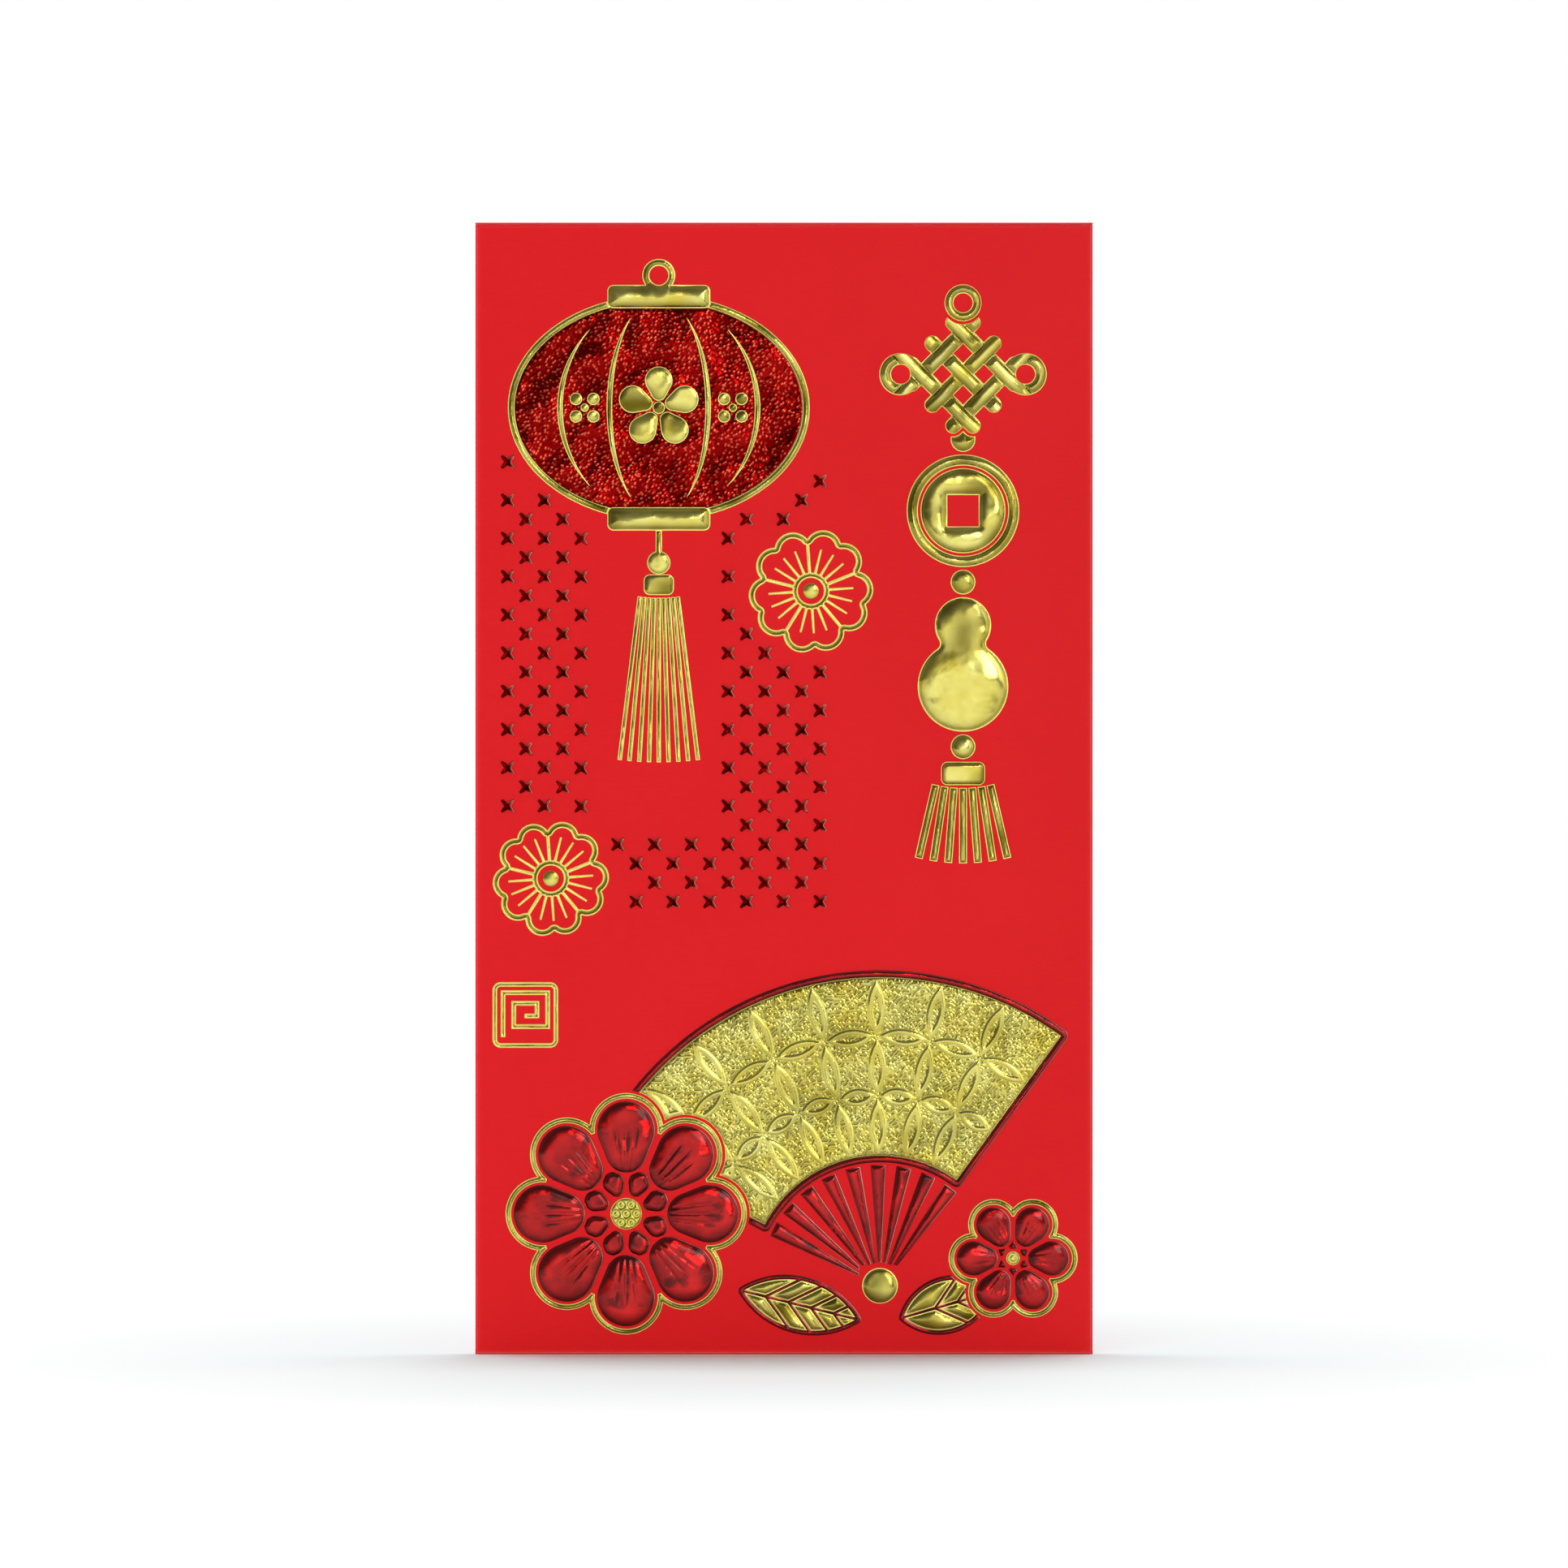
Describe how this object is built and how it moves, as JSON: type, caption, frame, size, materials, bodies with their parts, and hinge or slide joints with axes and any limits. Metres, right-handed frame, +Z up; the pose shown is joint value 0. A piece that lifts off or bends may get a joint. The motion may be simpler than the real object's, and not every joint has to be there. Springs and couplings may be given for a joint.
{
  "type": "red envelope",
  "caption": "Upright red paper gift packet with an open pocket, glued back seams, a folding closure flap and raised gold and dark red foil ornaments on its front.",
  "frame": {"origin": "middle of the base, on the surface that the packet stands on", "axes": "+Z up along the packet's height, +X to the right seen from the front, the printed front faces -Y"},
  "size_m": [0.09, 0.0032, 0.165],
  "materials": {
    "red_paper": "matte",
    "gold_foil": "polished",
    "red_foil": "polished",
    "glue": "satin",
    "gum": "gloss"
  },
  "bodies": {
    "packet": {"back_panel": "red_paper", "base_spine": "red_paper", "bottom_flap": "red_paper", "bottom_flap_glue": "glue", "bud_centre": "gold_foil", "bud_edge": "gold_foil", "bud_inner_petals": "red_foil", "bud_outer_petals": "red_foil", "charm_beads": "gold_foil", "charm_coin": "gold_foil", "charm_gourd": "gold_foil", "charm_knot": "gold_foil", "charm_loop": "gold_foil", "charm_tassel": "gold_foil", "cross_grid": "red_foil", "fan_lattice": "gold_foil", "fan_leaf": "gold_foil", "fan_outline": "red_foil", "fan_rivet": "gold_foil", "fan_sticks": "red_foil", "front_panel": "red_paper", "lantern_caps": "gold_foil", "lantern_field": "red_foil", "lantern_outline": "gold_foil", "lantern_ribs": "gold_foil", "lantern_rosettes": "gold_foil", "lantern_tassel": "gold_foil", "leaf_blades": "gold_foil", "leaf_lines": "red_foil", "left_spine": "red_paper", "lower_blossom": "gold_foil", "peony_centre": "gold_foil", "peony_edge": "gold_foil", "peony_inner_petals": "red_foil", "peony_outer_petals": "red_foil", "right_spine": "red_paper", "seal_fret": "gold_foil", "seam_glue": "glue", "seam_tab": "red_paper", "upper_blossom": "gold_foil"},
    "top_fold": {"top_spine": "red_paper"},
    "flap": {"closure_flap": "red_paper", "flap_gum": "gum"}
  },
  "joints": [
    {"name": "top_fold_crease", "type": "hinge", "parent": "packet", "child": "top_fold", "pos_m": [0, -0.0008, 0.16485], "axis": [1, 0, 0], "range_deg": [0, 90]},
    {"name": "flap_crease", "type": "hinge", "parent": "top_fold", "child": "flap", "pos_m": [0, 0.0014, 0.16485], "axis": [1, 0, 0], "range_deg": [0, 90]}
  ],
  "couplings": [
    {"joint": "top_fold_crease", "follows": "flap_crease", "ratio": 1}
  ]
}
